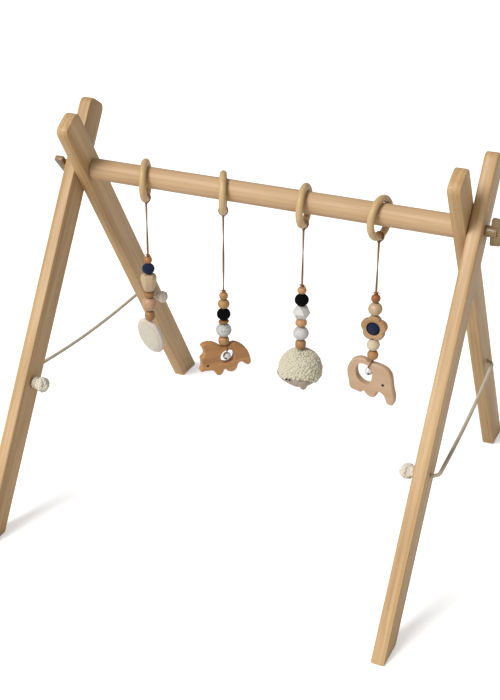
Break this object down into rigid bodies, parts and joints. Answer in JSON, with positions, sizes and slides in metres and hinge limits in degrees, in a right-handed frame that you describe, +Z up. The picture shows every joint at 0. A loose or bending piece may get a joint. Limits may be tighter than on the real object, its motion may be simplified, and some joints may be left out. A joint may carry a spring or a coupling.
{
  "type": "baby play gym",
  "caption": "Wooden baby play gym: two folding A-frames joined by a round crossbar with hanging bead toys on wooden rings.",
  "frame": {"origin": "on the floor, midway between the four feet, under the crossbar", "axes": "+X along the crossbar to the right, +Y away from the viewer towards the back legs, +Z up"},
  "size_m": [0.5996, 0.5784, 0.5134],
  "materials": {
    "beech": "satin, unvarnished light wood with straight grain",
    "pale_wood": "smooth pale wood",
    "nut_wood": "waxed darker wood",
    "steel": "plain threaded stud",
    "rope": "twisted cotton rope",
    "waxed_cord": "waxed cotton cord",
    "tan_wood": "smooth oiled wood",
    "brown_wood": "smooth oiled wood",
    "cream_wood": "smooth raw wood",
    "blush_wood": "smooth stained wood",
    "navy_silicone": "matt with a fine raised texture",
    "black_silicone": "matt",
    "white_silicone": "matt",
    "speckled": "pitted and speckled",
    "animal_wood": "smooth oiled wood",
    "elephant_wood": "smooth raw wood",
    "plush": "short pile",
    "crochet": "cotton crochet stitches",
    "bell": "satin white"
  },
  "bodies": {
    "frame": {"crossbar": "beech", "left_front_leg": "beech", "left_stud": "steel", "left_spreader_rope": "rope", "left_front_rope_knot": "rope", "right_front_leg": "beech", "right_stud": "steel", "right_spreader_rope": "rope", "right_front_rope_knot": "rope"},
    "left_back_frame": {"left_back_leg": "beech", "left_back_rope_knot": "rope"},
    "right_back_frame": {"right_back_leg": "beech", "right_back_rope_knot": "rope"},
    "left_nut": {"left_wing_nut": "nut_wood"},
    "right_nut": {"right_wing_nut": "nut_wood"},
    "toy1_ring_body": {"toy1_ring": "pale_wood", "toy1_cord_loop": "waxed_cord"},
    "toy1_string": {"toy1_cord": "waxed_cord", "toy1_bead_1_caramel": "brown_wood", "toy1_bead_2_navy": "navy_silicone", "toy1_bead_3_barrel": "cream_wood", "toy1_bead_4_disc": "brown_wood", "toy1_bead_5_blush": "blush_wood", "toy1_bead_6_brown": "brown_wood"},
    "toy1_charm": {"toy1_plush_pad": "plush"},
    "toy2_ring_body": {"toy2_ring": "pale_wood", "toy2_cord_loop": "waxed_cord"},
    "toy2_string": {"toy2_cord": "waxed_cord", "toy2_bead_1_tan": "tan_wood", "toy2_bead_2_tan": "tan_wood", "toy2_bead_3_black": "black_silicone", "toy2_bead_4_disc": "brown_wood", "toy2_bead_5_speckled": "speckled", "toy2_bead_6_tan": "tan_wood"},
    "toy2_charm": {"toy2_wooden_dinosaur": "animal_wood"},
    "toy3_ring_body": {"toy3_ring": "pale_wood", "toy3_cord_loop": "waxed_cord"},
    "toy3_string": {"toy3_cord": "waxed_cord", "toy3_bead_1_tan": "tan_wood", "toy3_bead_2_black": "black_silicone", "toy3_bead_3_gem": "white_silicone", "toy3_bead_4_tan": "tan_wood", "toy3_bead_5_speckled": "speckled", "toy3_bead_6_brown": "brown_wood"},
    "toy3_charm": {"toy3_crochet_sheep": "crochet"},
    "toy4_ring_body": {"toy4_ring": "pale_wood", "toy4_cord_loop": "waxed_cord"},
    "toy4_string": {"toy4_cord": "waxed_cord", "toy4_bead_1_russet": "brown_wood", "toy4_bead_2_cream": "cream_wood", "toy4_flower": "tan_wood", "toy4_flower_centre": "navy_silicone", "toy4_bead_3_cream": "cream_wood", "toy4_bead_4_tan": "tan_wood"},
    "toy4_charm": {"toy4_wooden_elephant": "elephant_wood"},
    "toy2_bell_body": {"toy2_bell": "bell"},
    "toy4_bell_body": {"toy4_bell": "bell"}
  },
  "joints": [
    {"name": "left_fold", "type": "hinge", "parent": "frame", "child": "left_back_frame", "pos_m": [0, 0, 0.43], "axis": [-1, 0, 0], "range_deg": [0, 57], "deforming": ["left_spreader_rope"]},
    {"name": "right_fold", "type": "hinge", "parent": "frame", "child": "right_back_frame", "pos_m": [0, 0, 0.43], "axis": [-1, 0, 0], "range_deg": [0, 57], "deforming": ["right_spreader_rope"]},
    {"name": "left_nut_turn", "type": "hinge", "parent": "frame", "child": "left_nut", "pos_m": [-0.29, 0, 0.43], "axis": [1, 0, 0], "continuous": true},
    {"name": "right_nut_turn", "type": "hinge", "parent": "frame", "child": "right_nut", "pos_m": [0.29, 0, 0.43], "axis": [1, 0, 0], "continuous": true},
    {"name": "toy1_slide", "type": "slide", "parent": "frame", "child": "toy1_ring_body", "axis": [1, 0, 0], "range_m": [-0.045, 0.012]},
    {"name": "toy1_swing", "type": "hinge", "parent": "toy1_ring_body", "child": "toy1_string", "pos_m": [-0.1695, 0, 0.394], "axis": [1, 0, 0], "range_deg": [-25, 25]},
    {"name": "toy1_twist", "type": "hinge", "parent": "toy1_string", "child": "toy1_charm", "pos_m": [-0.1695, 0, 0.21], "axis": [0, 0, 1], "range_deg": [-90, 90]},
    {"name": "toy2_slide", "type": "slide", "parent": "frame", "child": "toy2_ring_body", "axis": [1, 0, 0], "range_m": [-0.025, 0.012]},
    {"name": "toy2_swing", "type": "hinge", "parent": "toy2_ring_body", "child": "toy2_string", "pos_m": [-0.0578, 0, 0.394], "axis": [1, 0, 0], "range_deg": [-25, 25]},
    {"name": "toy2_twist", "type": "hinge", "parent": "toy2_string", "child": "toy2_charm", "pos_m": [-0.0578, 0, 0.21], "axis": [0, 0, 1], "range_deg": [-90, 90]},
    {"name": "toy3_slide", "type": "slide", "parent": "frame", "child": "toy3_ring_body", "axis": [1, 0, 0], "range_m": [-0.012, 0.014]},
    {"name": "toy3_swing", "type": "hinge", "parent": "toy3_ring_body", "child": "toy3_string", "pos_m": [0.0528, 0, 0.394], "axis": [1, 0, 0], "range_deg": [-25, 25]},
    {"name": "toy3_twist", "type": "hinge", "parent": "toy3_string", "child": "toy3_charm", "pos_m": [0.0528, 0, 0.21], "axis": [0, 0, 1], "range_deg": [-90, 90]},
    {"name": "toy4_slide", "type": "slide", "parent": "frame", "child": "toy4_ring_body", "axis": [1, 0, 0], "range_m": [-0.012, 0.05]},
    {"name": "toy4_swing", "type": "hinge", "parent": "toy4_ring_body", "child": "toy4_string", "pos_m": [0.1515, 0, 0.394], "axis": [1, 0, 0], "range_deg": [-25, 25]},
    {"name": "toy4_twist", "type": "hinge", "parent": "toy4_string", "child": "toy4_charm", "pos_m": [0.1515, 0, 0.21], "axis": [0, 0, 1], "range_deg": [-90, 90]},
    {"name": "toy2_bell_swing", "type": "hinge", "parent": "toy2_charm", "child": "toy2_bell_body", "pos_m": [-0.05483, 0.00297, 0.2026], "axis": [0.7071, 0.7071, 0], "range_deg": [-20, 20]},
    {"name": "toy4_bell_swing", "type": "hinge", "parent": "toy4_charm", "child": "toy4_bell_body", "pos_m": [0.1475, 0, 0.2235], "axis": [1, 0, 0], "range_deg": [-20, 20]}
  ]
}
